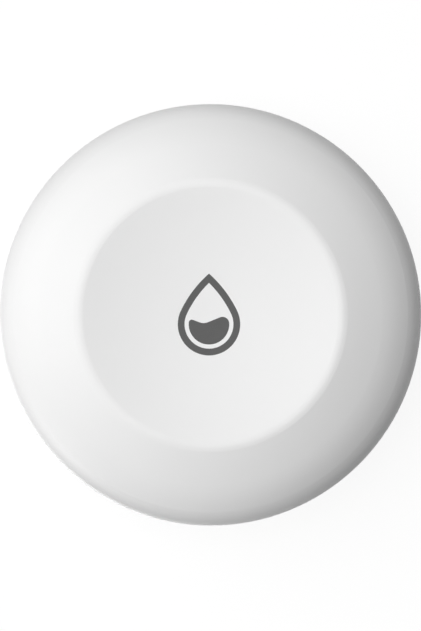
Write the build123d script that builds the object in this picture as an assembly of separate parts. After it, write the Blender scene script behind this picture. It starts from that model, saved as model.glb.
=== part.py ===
"""Round water leak sensor: a dished press cap over a sealed capsule with a coin cell behind a screw-out door.

Millimetres, +Z up, origin on the floor under the middle of the sensor, +Y the way the drop mark points.
"""

from build123d import *
import math
import os

# Heights, stacked from the floor up, which add up to the 15 mm of the whole sensor
foot_height = 0.8
door_disc_thickness = 1.95
cell_gap = 0.05
cell_height = 3.2
contact_gap = 0.9
board_thickness = 1.0
headroom = 2.6
roof_thickness = 1.1
press_gap = 0.7
cap_wall = 1.5
dish_depth = 1.2

# Widths, stacked from the axis out, which add up to the 25 mm radius of the whole sensor
cell_radius = 10.0
cell_clearance = 0.15
holder_wall = 0.85
neck_clearance = 0.2
neck_wall = 1.3
thread_depth = 1.0
flange_seat_width = 1.2
flange_clearance = 0.15
probe_web = 0.55
probe_head_radius = 2.2
bay_margin = 1.8
base_wall = 1.6
shell_clearance = 0.1
shell_wall = 1.2
hook_gap = 0.8
skirt_wall = 1.2
skirt_tuck = 0.7

# Top surface: a shallow dish, a rounded crest line, then a shoulder of arcs that steepens to the widest point
crest_setback = 2.15
crest_rounding = 2.6
shoulder_angles = (16.0, 21.0, 38.0, 90.0)
shoulder_width_shares = (0.0, 0.47, 0.81, 1.0)

# Press action of the cap on the switch
press_travel = 0.3
press_margin = 0.2
post_radius = 1.5
contact_play = 0.05

# Drop mark inlaid in the dish
drop_radius = 3.68
drop_tip_height = 5.97
drop_side_radius = 13.9
drop_centre_setback = 1.1
drop_centre_shift = 0.18
drop_stroke = 0.8
mark_depth = 0.25
level_gap = 0.49
trough_setback = 0.61
trough_rise = 0.05
trough_rounding = 1.33
left_slope = 19.8
right_slope = 21.7
left_rounding = 0.35
right_rounding = 0.79

# Base plate and its walls
base_plate_thickness = 2.1
base_edge_radius = 1.8
rim_setback = 0.25
well_wall = 1.3
boss_radius = 2.0
foot_edge_radius = 0.25
edge_round = 0.25
fine_edge_round = 0.12
door_flange_thickness = 1.0
seal_groove_depth = 0.8
seal_groove_height = 1.1
seal_groove_lift = 1.0
seal_play = 0.02
snap_height = 0.6
snap_depth = 0.3
snap_play = 0.1
snap_lift = 2.8

# Hooks that hold the cap on the capsule, and the notches that stop it turning
hook_lift = 1.2
hook_height = 0.9
hook_clearance = 0.15
hook_half_angle = 15.0
ledge_height = 0.8
ledge_clearance = 0.2
rib_half_angle = 2.0
notch_half_angle = 3.2
hook_count = 4
weld = 0.4

# Screw thread of the battery door: three starts, one turn lowers the door by the lead
thread_lead = 12.0
thread_starts = 3
thread_thickness = 0.8
thread_clearance = 0.15
thread_play = 0.1
ledge_half_angle = 15.0
lug_half_angle = 13.0
groove_depth = 0.5
door_seal_gap = 0.1
neck_rim = 0.1
coin_slot_length = 14.0
coin_slot_width = 2.0
coin_slot_depth = 0.9
dimple_radius = 0.5
dimple_depth = 0.3
dimple_angle = 45.0
dimple_inset = 0.9
unlock_angle = 30.0

# Probes with their seals and nuts
shank_radius = 1.0
shank_clearance = 0.05
probe_seal_section = 0.6
nut_across_flats = 4.0
nut_height = 1.6
shank_proud = 0.4
shank_chamfer = 0.2

# Screws that hold the board
screw_head_radius = 1.9
screw_head_height = 1.3
screw_radius = 0.9
screw_length = 4.0
screw_cross_width = 0.5
screw_cross_length = 2.2
screw_cross_depth = 0.8
pilot_clearance = 0.02
pilot_spare = 0.5

# Press membrane and light guide in the roof of the capsule
membrane_hole_radius = 3.6
membrane_flange_width = 1.9
membrane_flange_height = 0.6
membrane_web = 0.4
nub_radius = 1.5
nub_proud = 0.15
guide_radius = 1.25
guide_flange_width = 0.5
guide_flange_height = 0.4
guide_clearance = 0.05
guide_proud = 1.3
guide_pocket_gap = 0.5
window_wall = 0.7
led_distance = 8.5
led_gap = 0.3

# Circuit board and what is soldered on it
board_inset = 0.6
board_hole_clearance = 0.1
switch_side = 5.1
switch_body_height = 1.3
switch_cover_thickness = 0.15
switch_cavity_radius = 1.9
switch_floor = 0.4
plunger_radius = 1.2
plunger_flange_radius = 1.75
plunger_flange_height = 0.25
plunger_proud = 0.45
plunger_clearance = 0.15
dome_thickness = 0.08
dome_rise = 0.46
chip_side = 7.0
chip_height = 0.85
chip_bevel = 0.12
chip_place_shares = (-0.47, 0.225)
chip_dot_radius = 0.35
chip_dot_depth = 0.08
chip_pads_a_side = 12
chip_pad_pitch = 0.5
chip_pad_width = 0.25
chip_pad_length = 0.45
chip_pad_height = 0.2
crystal_length = 3.2
crystal_width = 2.5
crystal_height = 0.7
crystal_lid_inset = 0.25
crystal_lid_height = 0.15
crystal_place_shares = (-0.47, -0.078)
sense_length = 2.9
sense_width = 1.6
sense_height = 1.1
sense_leg_width = 0.4
sense_leg_pitch = 0.95
sense_leg_reach = 0.55
sense_leg_thickness = 0.15
sense_place_shares = (0.51, 0.206)
led_length = 1.6
led_width = 0.8
led_base_height = 0.25
led_lens_height = 0.4
passive_length = 1.6
passive_width = 0.8
capacitor_height = 0.8
resistor_height = 0.45
terminal_length = 0.35
capacitor_place_shares = (
    (-0.225, 0.363), (-0.225, 0.451), (-0.706, 0.029), (-0.265, -0.157), (0.451, 0.412),
    (0.608, 0.412), (0.314, -0.324), (-0.471, 0.471), (0.647, 0.235), (-0.294, -0.441),
)
resistor_place_shares = (
    (0.314, 0.127), (0.314, 0.216), (0.686, -0.157), (0.56, -0.275), (-0.657, -0.176),
    (-0.657, -0.265), (0.157, -0.48), (-0.157, -0.48), (0.52, -0.373), (0.255, 0.412),
)
antenna_thickness = 0.05
antenna_strip = 0.5
antenna_pitch = 1.1
antenna_depth = 4.4
antenna_turns = 5
antenna_place_shares = (0.167, 0.598)

# Cell holder and its contacts
holder_drop_share = 0.8
holder_peg_radius = 0.35
holder_peg_count = 3
holder_peg_angle = 90.0
window_width = 5.0
finger_window_width = 7.0
clip_thickness = 0.25
clip_width = 4.0
clip_reach = 2.5
spring_thickness = 0.2
spring_width = 3.0
spring_length = 10.5
spring_start = 7.0
spring_length_shares = (0.0, 0.29, 0.81, 1.0)
spring_drop_shares = (0.0, 0.0, 1.0, 0.55)

# Coin cell
can_wall = 0.25
can_lip = 0.7
can_edge_radius = 0.4
cap_rise = 0.25
gasket_width = 0.35
gasket_height = 0.9
cell_cap_bevel = 0.25
pellet_inset = 0.5
pellet_gap = 0.05

# One overrun serves all cuts, and edges are told apart to within a share of their size
overrun = 1.0
match_share = 1e-5

# Heights worked out from the stack
base_bottom_z = foot_height
door_inner_z = base_bottom_z + door_disc_thickness
cell_bottom_z = door_inner_z + cell_gap
cell_top_z = cell_bottom_z + cell_height
board_bottom_z = cell_top_z + contact_gap
board_top_z = board_bottom_z + board_thickness
roof_bottom_z = board_top_z + headroom
roof_top_z = roof_bottom_z + roof_thickness
dish_bottom_z = roof_top_z + press_gap + cap_wall
body_height = dish_bottom_z + dish_depth
flange_top_z = base_bottom_z + door_flange_thickness
rim_top_z = base_bottom_z + base_plate_thickness
skirt_bottom_z = rim_top_z + press_travel + press_margin
hook_low_z = skirt_bottom_z + hook_lift
hook_high_z = hook_low_z + hook_height
switch_top_z = board_top_z + switch_body_height
plunger_top_z = switch_top_z + switch_cover_thickness + plunger_proud
nub_low_z = plunger_top_z + contact_play
nub_high_z = roof_top_z + nub_proud
cell_rim_z = cell_top_z - cap_rise
gasket_low_z = cell_rim_z - can_wall - gasket_height
led_top_z = board_top_z + led_base_height + led_lens_height
guide_low_z = led_top_z + led_gap

# Radii worked out from the stack
holder_inner_radius = cell_radius + cell_clearance
holder_outer_radius = holder_inner_radius + holder_wall
neck_inner_radius = holder_outer_radius + neck_clearance
neck_radius = neck_inner_radius + neck_wall
bore_radius = neck_radius + thread_depth
flange_radius = bore_radius + flange_seat_width
recess_radius = flange_radius + flange_clearance
probe_circle_radius = recess_radius + probe_web + probe_head_radius
crest_line_radius = probe_circle_radius - crest_setback
bay_radius = probe_circle_radius + bay_margin
base_wall_radius = bay_radius + base_wall
shell_inner_radius = base_wall_radius + shell_clearance
shell_radius = shell_inner_radius + shell_wall
cavity_radius = shell_radius + hook_gap
skirt_radius = cavity_radius + skirt_wall
body_radius = skirt_radius + skirt_tuck
rim_radius = skirt_radius - rim_setback
board_radius = base_wall_radius - board_inset

cell_cap_radius = cell_radius - can_lip - gasket_width

# Thread levels: the seal sits below the ledges of the bore, and the door's lugs rest above those ledges
thread_middle_radius = (neck_radius + bore_radius) / 2
rise_per_degree = thread_lead / 360
door_seal_section = thread_depth + groove_depth - 2 * door_seal_gap
groove_top_z = flange_top_z + door_seal_section + 2 * door_seal_gap
ledge_centre_z = groove_top_z + thread_play + thread_thickness / 2 + ledge_half_angle * rise_per_degree
lug_centre_z = ledge_centre_z + thread_thickness + thread_play
neck_top_z = lug_centre_z + thread_thickness / 2 + lug_half_angle * rise_per_degree + neck_rim


def cylinder(radius, low, high):
    """A plain round bar on the axis between two heights."""
    return Pos(0, 0, low) * Cylinder(radius, high - low, align=(Align.CENTER, Align.CENTER, Align.MIN))


def tube(outer, inner, low, high):
    """A ring on the axis between two heights."""
    return cylinder(outer, low, high) - cylinder(inner, low - overrun, high + overrun)


def block(length, width, low, high):
    """A box centred on the axis between two heights."""
    return Pos(0, 0, low) * Box(length, width, high - low, align=(Align.CENTER, Align.CENTER, Align.MIN))


def turned(points):
    """A solid of revolution from an outline of radius and height pairs."""
    outline = Polyline(*[(radius, 0, height) for radius, height in points], close=True)
    return revolve(make_face(outline), Axis.Z)


def sector(inner, outer, low, high, half_angle, middle_angle):
    """A piece of a ring that spans an angle either side of its middle."""
    corners = ((inner, low), (outer, low), (outer, high), (inner, high))
    outline = Polyline(*[(radius, 0, height) for radius, height in corners], close=True)
    swept = revolve(make_face(outline), Axis.Z, 2 * half_angle)
    return Rot(0, 0, middle_angle - half_angle) * swept


def round_about(shape, count, first_angle=0):
    """Copies of a shape spaced evenly about the axis."""
    copies = [Rot(0, 0, first_angle + index * 360 / count) * shape for index in range(count)]
    return copies


def on_board(place_shares):
    """A place on the board from its shares of the board's radius."""
    return place_shares[0] * board_radius, place_shares[1] * board_radius


def group(shapes):
    """Several separate solids as one piece."""
    solids = []
    for shape in shapes:
        solids.extend(shape.solids())
    return Compound(children=solids)


def ring_edges(shape, radius, height):
    """The round edges of a shape that have a radius and lie at a height."""
    return [
        edge
        for edge in shape.edges().filter_by(GeomType.CIRCLE)
        if math.isclose(edge.radius, radius, rel_tol=match_share)
        and math.isclose(edge.arc_center.Z, height, rel_tol=match_share)
    ]


def arc(centre, radius, start_angle, end_angle):
    """An arc in the section plane, its angles counted outwards from straight up."""
    points = []
    for angle in (start_angle, (start_angle + end_angle) / 2, end_angle):
        turn = math.radians(angle)
        points.append((centre[0] + radius * math.sin(turn), 0, centre[1] + radius * math.cos(turn)))
    return ThreePointArc(*points)


def shoulder_edges(top):
    """The shoulder in section, from the end of the crest out to the widest point, under a top height."""
    first = math.radians(shoulder_angles[0])
    radius = crest_line_radius + crest_rounding * math.sin(first)
    height = top - crest_rounding * (1 - math.cos(first))
    width = body_radius - radius
    edges = []
    for index in range(1, len(shoulder_angles)):
        start = math.radians(shoulder_angles[index - 1])
        end = math.radians(shoulder_angles[index])
        run = width * (shoulder_width_shares[index] - shoulder_width_shares[index - 1])
        bend = run / (math.sin(end) - math.sin(start))
        middle = (radius - bend * math.sin(start), height - bend * math.cos(start))
        edges.append(arc(middle, bend, shoulder_angles[index - 1], shoulder_angles[index]))
        radius = middle[0] + bend * math.sin(end)
        height = middle[1] + bend * math.cos(end)
    return edges, radius, height


def crest_edge(top, start_angle):
    """The crest in section, from an angle before its highest point to the start of the shoulder."""
    return arc((crest_line_radius, top - crest_rounding), crest_rounding, start_angle, shoulder_angles[0])


def dish_edges(top):
    """The dish and the crest in section, from the axis out to the start of the shoulder."""
    reach = (crest_line_radius**2 + dish_depth**2) / (2 * dish_depth)
    dish_radius = reach - crest_rounding
    dish_slope = math.degrees(math.asin(crest_line_radius / reach))
    dish_middle = (0, top - dish_depth + dish_radius)
    return [arc(dish_middle, dish_radius, 180, 180 - dish_slope), crest_edge(top, -dish_slope)]


def under(edges, corners):
    """Closes top edges with straight lines from their outer end back to the axis, and turns the whole."""
    closing = Polyline(*[(radius, 0, height) for radius, height in corners])
    return revolve(make_face(edges + [closing]), Axis.Z)


def crown(lowered, low):
    """Everything under the dished top surface, when that surface is moved down by a distance."""
    top = body_height - lowered
    edges, radius, height = shoulder_edges(top)
    return under(dish_edges(top) + edges, ((radius, height), (radius, low), (0, low), (0, top - dish_depth)))


def flat_crown(lowered, low):
    """The same, but flat inside the crest."""
    top = body_height - lowered
    edges, radius, height = shoulder_edges(top)
    corners = ((radius, height), (radius, low), (0, low), (0, top), (crest_line_radius, top))
    return under([crest_edge(top, 0)] + edges, corners)


def pebble():
    """The outside of the cap, with the skirt drawn in below the widest point."""
    edges, radius, height = shoulder_edges(body_height)
    drop = height - skirt_bottom_z
    bend = (drop**2 + skirt_tuck**2) / (2 * skirt_tuck)
    end_angle = 90 + math.degrees(math.asin(drop / bend))
    edges.append(arc((radius - bend, height), bend, 90, end_angle))
    corners = ((radius - skirt_tuck, skirt_bottom_z), (0, skirt_bottom_z), (0, dish_bottom_z))
    return under(dish_edges(body_height) + edges, corners)


def drop_face(inset):
    """A water drop: a round bottom and two long side arcs that meet in a tip, all moved in by an inset."""
    reach = drop_side_radius - drop_radius
    side_y = (drop_tip_height**2 - drop_side_radius**2 + reach**2) / (2 * drop_tip_height)
    side_x = math.sqrt(reach**2 - side_y**2)
    bottom = drop_radius - inset
    side = drop_side_radius - inset
    joint = (-bottom * side_x / reach, -bottom * side_y / reach)
    tip = (0, side_y + math.sqrt(side**2 - side_x**2))
    middle = Vector(joint[0] + tip[0], joint[1] + tip[1]) * 0.5 - Vector(side_x, side_y)
    bulge = Vector(side_x, side_y) + middle.normalized() * side
    edges = [
        ThreePointArc(joint, (0, -bottom), (-joint[0], joint[1])),
        ThreePointArc((-joint[0], joint[1]), (-bulge.X, bulge.Y), tip),
        ThreePointArc(tip, (bulge.X, bulge.Y), joint),
    ]
    return make_face(edges)


def level_face():
    """The water in the drop: a disc under two lines that meet in a trough, with all corners rounded."""
    radius = drop_radius - drop_stroke - level_gap
    reach = 2 * radius
    left_rise = trough_rise + (reach - trough_setback) * math.tan(math.radians(left_slope))
    right_rise = trough_rise + (reach + trough_setback) * math.tan(math.radians(right_slope))
    trough = (-trough_setback, trough_rise)
    below = Polyline(
        trough, (reach, right_rise), (reach, -reach), (-reach, -reach), (-reach, left_rise), close=True
    )
    water = (Rot(0, 0, 90) * Circle(radius)) & make_face(below)
    water = fillet(water.vertices().sort_by_distance(trough)[0], trough_rounding)
    water = fillet(water.vertices().sort_by(Axis.X)[0], left_rounding)
    return fillet(water.vertices().sort_by(Axis.X)[-1], right_rounding)


def mark(face):
    """A mark inlaid in the dish, flush with its surface."""
    placed = Pos(-drop_centre_shift, -drop_centre_setback, dish_bottom_z - mark_depth) * face
    return extrude(placed, amount=mark_depth + dish_depth) & crown(0, skirt_bottom_z)


def drop_outline():
    return mark(drop_face(0) - drop_face(drop_stroke))


def drop_level():
    return mark(level_face())


def top_cover():
    """Press cap: pebble outside, even wall under the dish, post for the switch, hooks and guide ribs."""
    hollow = crown(cap_wall, rim_top_z) & cylinder(cavity_radius, rim_top_z, body_height)
    cap = pebble() - hollow
    skirt_edges = ring_edges(cap, skirt_radius, skirt_bottom_z)
    skirt_edges += ring_edges(cap, cavity_radius, skirt_bottom_z)
    cap = fillet(skirt_edges, edge_round)
    cap += cylinder(post_radius, nub_high_z + contact_play, dish_bottom_z - cap_wall / 2)
    hook = sector(
        shell_radius + hook_clearance, cavity_radius + weld, hook_low_z, hook_high_z, hook_half_angle, 0
    )
    rib_top_z = hook_high_z + contact_play + ledge_height
    rib = sector(
        shell_radius + hook_clearance, cavity_radius + weld, hook_high_z, rib_top_z, rib_half_angle, 0
    )
    for shape in round_about(hook, hook_count):
        cap += shape
    for shape in round_about(rib, hook_count, 180 / hook_count):
        cap += shape
    pocket = Pos(0, -led_distance) * cylinder(guide_radius + guide_pocket_gap, roof_top_z, body_height)
    pocket &= crown(window_wall, roof_top_z)
    return cap - pocket - drop_outline() - drop_level()


def inner_shell():
    """Upper half of the sealed capsule: roof, wall, hook ledge, membrane seat and light guide hole."""
    outside = flat_crown(cap_wall + press_gap, rim_top_z) & cylinder(shell_radius, rim_top_z, roof_top_z)
    lowered = cap_wall + press_gap + shell_wall
    hollow = flat_crown(lowered, base_bottom_z) & cylinder(shell_inner_radius, base_bottom_z, roof_bottom_z)
    shell = outside - hollow
    ledge_low_z = hook_high_z + contact_play
    ledge = tube(
        cavity_radius - ledge_clearance, shell_radius - weld, ledge_low_z, ledge_low_z + ledge_height
    )
    notch = sector(
        shell_radius, cavity_radius, ledge_low_z - overrun, ledge_low_z + ledge_height + overrun,
        notch_half_angle, 0,
    )
    for shape in round_about(notch, hook_count, 180 / hook_count):
        ledge -= shape
    bead_z = rim_top_z + snap_lift
    bead_inner_radius = shell_inner_radius - snap_depth
    bead = tube(shell_inner_radius + weld, bead_inner_radius, bead_z, bead_z + snap_height)
    shell = shell + ledge + bead
    shell -= cylinder(membrane_hole_radius, roof_bottom_z - overrun, roof_top_z + overrun)
    seat_radius = membrane_hole_radius + membrane_flange_width
    shell -= cylinder(seat_radius, roof_top_z - membrane_flange_height, roof_top_z + overrun)
    guide_hole = cylinder(guide_radius + guide_clearance, roof_bottom_z - overrun, roof_top_z + overrun)
    flange_radius_here = guide_radius + guide_flange_width + guide_clearance
    guide_seat = cylinder(flange_radius_here, roof_top_z - guide_flange_height, roof_top_z + overrun)
    return shell - Pos(0, -led_distance) * (guide_hole + guide_seat)


def press_membrane():
    """Silicone disc that closes the roof and passes the press on through its nub."""
    flange_low_z = roof_top_z - membrane_flange_height
    web_low_z = flange_low_z + (membrane_flange_height - membrane_web) / 2
    outer = membrane_hole_radius + membrane_flange_width - seal_play
    membrane = tube(outer, membrane_hole_radius - weld, flange_low_z, roof_top_z)
    membrane += cylinder(membrane_hole_radius, web_low_z, web_low_z + membrane_web)
    return membrane + cylinder(nub_radius, nub_low_z, nub_high_z)


def light_guide():
    """Clear rod that takes the status light from the board to the thin window under the dish."""
    rod = cylinder(guide_radius, guide_low_z, roof_top_z + guide_proud)
    flange = cylinder(guide_radius + guide_flange_width, roof_top_z - guide_flange_height, roof_top_z)
    return Pos(0, -led_distance) * (rod + flange)


def shell_seal():
    """Ring seal in the groove round the base wall."""
    groove_root = base_wall_radius - seal_groove_depth
    section = (seal_groove_depth + shell_clearance) / 2 - seal_play
    middle_z = rim_top_z + seal_groove_lift + seal_groove_height / 2
    return Pos(0, 0, middle_z) * Torus((groove_root + shell_inner_radius) / 2, section)


def thread_piece(inner, outer, half_angle, height):
    """One short ridge of the thread: a ring sector between two planes tilted to the lead."""
    reach = (half_angle + overrun) * rise_per_degree + thread_thickness
    piece = sector(inner, outer, height - reach, height + reach, half_angle, 0)
    tilt = math.degrees(math.atan(thread_lead / (2 * math.pi * thread_middle_radius)))
    slab = Box(2 * bore_radius, 2 * bore_radius, thread_thickness * math.cos(math.radians(tilt)))
    return piece & (Pos(thread_middle_radius, 0, height) * Rot(tilt, 0, 0) * slab)


def at_probe_circle(shape, angle):
    """A shape moved from the axis to a place on the probe circle."""
    turn = math.radians(angle)
    return Pos(probe_circle_radius * math.cos(turn), probe_circle_radius * math.sin(turn)) * shape


def foot():
    """A round foot as high and wide as a probe head."""
    pad = cylinder(probe_head_radius, 0, foot_height + base_plate_thickness / 2)
    return fillet(pad.edges().sort_by(Axis.Z)[0], foot_edge_radius)


def base_plate():
    """The floor of the sensor, with its rounded outer edge."""
    edge_middle = (rim_radius - base_edge_radius, base_bottom_z + base_edge_radius)
    edges = [
        Line((0, 0, rim_top_z), (rim_radius, 0, rim_top_z)),
        Line((rim_radius, 0, rim_top_z), (rim_radius, 0, edge_middle[1])),
        arc(edge_middle, base_edge_radius, 90, 180),
        Line((edge_middle[0], 0, base_bottom_z), (0, 0, base_bottom_z)),
        Line((0, 0, base_bottom_z), (0, 0, rim_top_z)),
    ]
    return revolve(make_face(edges), Axis.Z)


def base():
    """Lower half of the capsule: floor, seal wall, door well with its ledges, bosses and feet."""
    body = base_plate()
    body += tube(base_wall_radius, bay_radius, rim_top_z - weld, board_bottom_z)
    body += cylinder(bore_radius + well_wall, rim_top_z - weld, board_bottom_z)
    for angle in (0, 90, 180, 270):
        body += at_probe_circle(cylinder(boss_radius, rim_top_z - weld, board_bottom_z), angle)
    for angle in (90, 270):
        body += at_probe_circle(foot(), angle)
    body -= cylinder(bore_radius, base_bottom_z - overrun, board_bottom_z + overrun)
    body -= cylinder(recess_radius, base_bottom_z - overrun, flange_top_z)
    soft_edges = ring_edges(body, recess_radius, base_bottom_z) + ring_edges(body, rim_radius, rim_top_z)
    body = fillet(soft_edges, edge_round)
    groove_z = rim_top_z + seal_groove_lift
    groove_root = base_wall_radius - seal_groove_depth
    body -= tube(base_wall_radius + overrun, groove_root, groove_z, groove_z + seal_groove_height)
    bead_z = rim_top_z + snap_lift
    body -= tube(
        base_wall_radius + overrun, base_wall_radius - snap_depth - snap_play,
        bead_z - snap_play, bead_z + snap_height + snap_play,
    )
    ledge = thread_piece(neck_radius + thread_clearance, bore_radius + weld, ledge_half_angle, ledge_centre_z)
    for shape in round_about(ledge, thread_starts):
        body += shape
    shank_hole = cylinder(shank_radius + shank_clearance, 0, board_top_z)
    seal_seat = cylinder(
        shank_radius + shank_clearance + probe_seal_section, 0, base_bottom_z + probe_seal_section
    )
    for angle in (0, 180):
        body -= at_probe_circle(shank_hole + seal_seat, angle)
    pilot_low_z = board_top_z - screw_length - pilot_spare
    pilot = cylinder(screw_radius + pilot_clearance, pilot_low_z, board_top_z)
    for angle in (90, 270):
        body -= at_probe_circle(pilot, angle)
    for angle in (dimple_angle, dimple_angle - unlock_angle):
        body -= dimple(recess_radius + dimple_inset, angle)
    return body


def dimple(distance, angle):
    """A round hollow to cut from the underside, as a mark for lining the door up."""
    turn = math.radians(angle)
    rise = base_bottom_z + dimple_depth - dimple_radius
    return Pos(distance * math.cos(turn), distance * math.sin(turn), rise) * Sphere(dimple_radius)


def is_slot_mouth(edge):
    """Whether an edge of the door is on the mouth of its coin slot."""
    middle = edge.center()
    at_bottom = math.isclose(middle.Z, base_bottom_z, rel_tol=match_share)
    return at_bottom and edge.length < coin_slot_length and abs(middle.Y) < coin_slot_width


def battery_door():
    """Screw-out door: disc with a coin slot, flange, and a neck that carries the seal and three lugs."""
    door = turned(
        (
            (0, base_bottom_z),
            (flange_radius, base_bottom_z),
            (flange_radius, flange_top_z),
            (neck_radius - groove_depth, flange_top_z),
            (neck_radius - groove_depth, groove_top_z),
            (neck_radius, groove_top_z),
            (neck_radius, neck_top_z),
            (neck_inner_radius, neck_top_z),
            (neck_inner_radius, door_inner_z),
            (0, door_inner_z),
        )
    )
    lug = thread_piece(neck_radius - weld, bore_radius - thread_clearance, lug_half_angle, lug_centre_z)
    for shape in round_about(lug, thread_starts):
        door += shape
    door = fillet(ring_edges(door, flange_radius, base_bottom_z), edge_round)
    slot_face = Pos(0, 0, base_bottom_z) * SlotOverall(coin_slot_length, coin_slot_width)
    door -= extrude(slot_face, amount=coin_slot_depth)
    mouth = [edge for edge in door.edges() if is_slot_mouth(edge)]
    return fillet(mouth, fine_edge_round) - dimple(flange_radius - dimple_inset, dimple_angle)


def door_seal():
    """Ring seal round the neck of the door."""
    groove_root = neck_radius - groove_depth
    middle_radius = groove_root + door_seal_gap + door_seal_section / 2
    middle_z = flange_top_z + door_seal_gap + door_seal_section / 2
    return Pos(0, 0, middle_z) * Torus(middle_radius, door_seal_section / 2)


def probe():
    """Metal probe: a flat round head that touches the floor and a shank up through the board."""
    head = cylinder(probe_head_radius, 0, foot_height)
    head = fillet(head.edges().sort_by(Axis.Z)[0], foot_edge_radius)
    shank = cylinder(shank_radius, foot_height / 2, board_top_z + nut_height + shank_proud)
    shank = chamfer(shank.edges().sort_by(Axis.Z)[-1], shank_chamfer)
    return head + shank


def probe_left():
    return at_probe_circle(probe(), 180)


def probe_right():
    return at_probe_circle(probe(), 0)


def probe_seals():
    """A small ring seal above each probe head."""
    section = probe_seal_section / 2 - seal_play
    middle_radius = shank_radius + (shank_clearance + probe_seal_section) / 2
    ring = Pos(0, 0, base_bottom_z + probe_seal_section / 2) * Torus(middle_radius, section)
    return group([at_probe_circle(ring, angle) for angle in (0, 180)])


def probe_nuts():
    """Hexagon nuts that clamp the probes to the board."""
    face = Pos(0, 0, board_top_z) * RegularPolygon(nut_across_flats / 2, 6, major_radius=False)
    nut = extrude(face, amount=nut_height)
    cone_low = nut_across_flats / math.sqrt(3)
    trim = turned(
        (
            (0, board_top_z),
            (cone_low, board_top_z),
            (cone_low, board_top_z + nut_height - shank_chamfer),
            (nut_across_flats / 2, board_top_z + nut_height),
            (0, board_top_z + nut_height),
        )
    )
    bore_top_z = board_top_z + nut_height + overrun
    nut = (nut & trim) - cylinder(shank_radius + pilot_clearance, board_bottom_z, bore_top_z)
    return group([at_probe_circle(nut, angle) for angle in (0, 180)])


def circuit_board():
    """Round board with holes for the probes, the screws and the pegs of the cell holder."""
    board = cylinder(board_radius, board_bottom_z, board_top_z)
    hole_low = board_bottom_z - overrun
    hole_high = board_top_z + overrun
    probe_hole = cylinder(shank_radius + board_hole_clearance, hole_low, hole_high)
    screw_hole = cylinder(screw_radius + board_hole_clearance, hole_low, hole_high)
    for angle in (0, 180):
        board -= at_probe_circle(probe_hole, angle)
    for angle in (90, 270):
        board -= at_probe_circle(screw_hole, angle)
    peg_middle = (holder_inner_radius + holder_outer_radius) / 2
    peg_hole = Pos(peg_middle) * cylinder(holder_peg_radius + pilot_clearance, hole_low, hole_high)
    for shape in round_about(peg_hole, holder_peg_count, holder_peg_angle):
        board -= shape
    return board


def board_screws():
    """Pan head screws with a cross recess that hold the board to its bosses."""
    head = cylinder(screw_head_radius, board_top_z, board_top_z + screw_head_height)
    head = fillet(head.edges().sort_by(Axis.Z)[-1], screw_head_height / 2)
    cross_low = board_top_z + screw_head_height - screw_cross_depth
    cross_high = board_top_z + screw_head_height + overrun
    head -= block(screw_cross_length, screw_cross_width, cross_low, cross_high)
    head -= block(screw_cross_width, screw_cross_length, cross_low, cross_high)
    screw = head + cylinder(screw_radius, board_top_z - screw_length, board_top_z + weld)
    return group([at_probe_circle(screw, angle) for angle in (90, 270)])


def switch_body():
    """Housing of the tactile switch, open at the top for the dome and the plunger."""
    body = block(switch_side, switch_side, board_top_z, switch_top_z)
    return body - cylinder(switch_cavity_radius, board_top_z + switch_floor, switch_top_z + overrun)


def switch_cover():
    """Thin metal plate that keeps the plunger in the switch."""
    plate = block(switch_side, switch_side, switch_top_z, switch_top_z + switch_cover_thickness)
    return plate - cylinder(plunger_radius + plunger_clearance, switch_top_z - overrun, plunger_top_z)


def switch_plunger():
    """The button of the switch, with a flange under the cover."""
    flange_high_z = switch_top_z - contact_play
    flange_low_z = flange_high_z - plunger_flange_height
    return cylinder(plunger_radius, flange_low_z, plunger_top_z) + cylinder(
        plunger_flange_radius, flange_low_z, flange_high_z
    )


def switch_dome():
    """Snap dome that gives the click and pushes the plunger back up."""
    foot_radius = plunger_flange_radius
    low_z = board_top_z + switch_floor
    bend = (foot_radius**2 + dome_rise**2) / (2 * dome_rise)
    angle = math.degrees(math.asin(foot_radius / bend))
    middle = (0, low_z - (bend - dome_thickness) * math.cos(math.radians(angle)))
    outer = arc(middle, bend, 0, angle)
    inner = arc(middle, bend - dome_thickness, angle, 0)
    edges = [outer, Line(outer @ 1, inner @ 0), inner, Line(inner @ 1, outer @ 0)]
    return revolve(make_face(edges), Axis.Z)


def radio_chip():
    """Flat square chip with bevelled top edges and a round mark at its first corner."""
    top_z = board_top_z + chip_height
    chip = block(chip_side, chip_side, board_top_z + chip_pad_height / 2, top_z)
    chip = chamfer(chip.faces().sort_by(Axis.Z)[-1].edges(), chip_bevel)
    corner = chip_side / 2 - chip_bevel - 2 * chip_dot_radius
    dot = cylinder(chip_dot_radius, top_z - chip_dot_depth, top_z + overrun)
    return Pos(*on_board(chip_place_shares)) * (chip - Pos(-corner, corner) * dot)


def crystal():
    """Small timing crystal: a body with a welded lid."""
    body_top = board_top_z + crystal_height
    body = block(crystal_length, crystal_width, board_top_z, body_top - crystal_lid_height)
    lid = block(
        crystal_length - 2 * crystal_lid_inset, crystal_width - 2 * crystal_lid_inset,
        body_top - crystal_lid_height, body_top,
    )
    return Pos(*on_board(crystal_place_shares)) * (body + lid)


def sense_chip():
    """Five-legged chip that reads the current between the probes."""
    body = block(sense_length, sense_width, board_top_z + sense_leg_thickness, board_top_z + sense_height)
    body = chamfer(body.faces().sort_by(Axis.Z)[-1].edges(), chip_bevel)
    return Pos(*on_board(sense_place_shares)) * body


def status_led():
    """Light source of the status light: a flat base and a clear block on it."""
    base_block = block(led_length, led_width, board_top_z, board_top_z + led_base_height)
    lens_length = led_length - 2 * terminal_length
    lens = block(lens_length, led_width, board_top_z + led_base_height, led_top_z)
    return Pos(0, -led_distance) * (base_block + lens)


def passive_bodies(places, height):
    """Small two-ended parts, without their metal ends."""
    body = block(passive_length - 2 * terminal_length, passive_width, board_top_z, board_top_z + height)
    return group([Pos(*on_board(place)) * body for place in places])


def chip_capacitors():
    return passive_bodies(capacitor_place_shares, capacitor_height)


def chip_resistors():
    return passive_bodies(resistor_place_shares, resistor_height)


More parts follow.
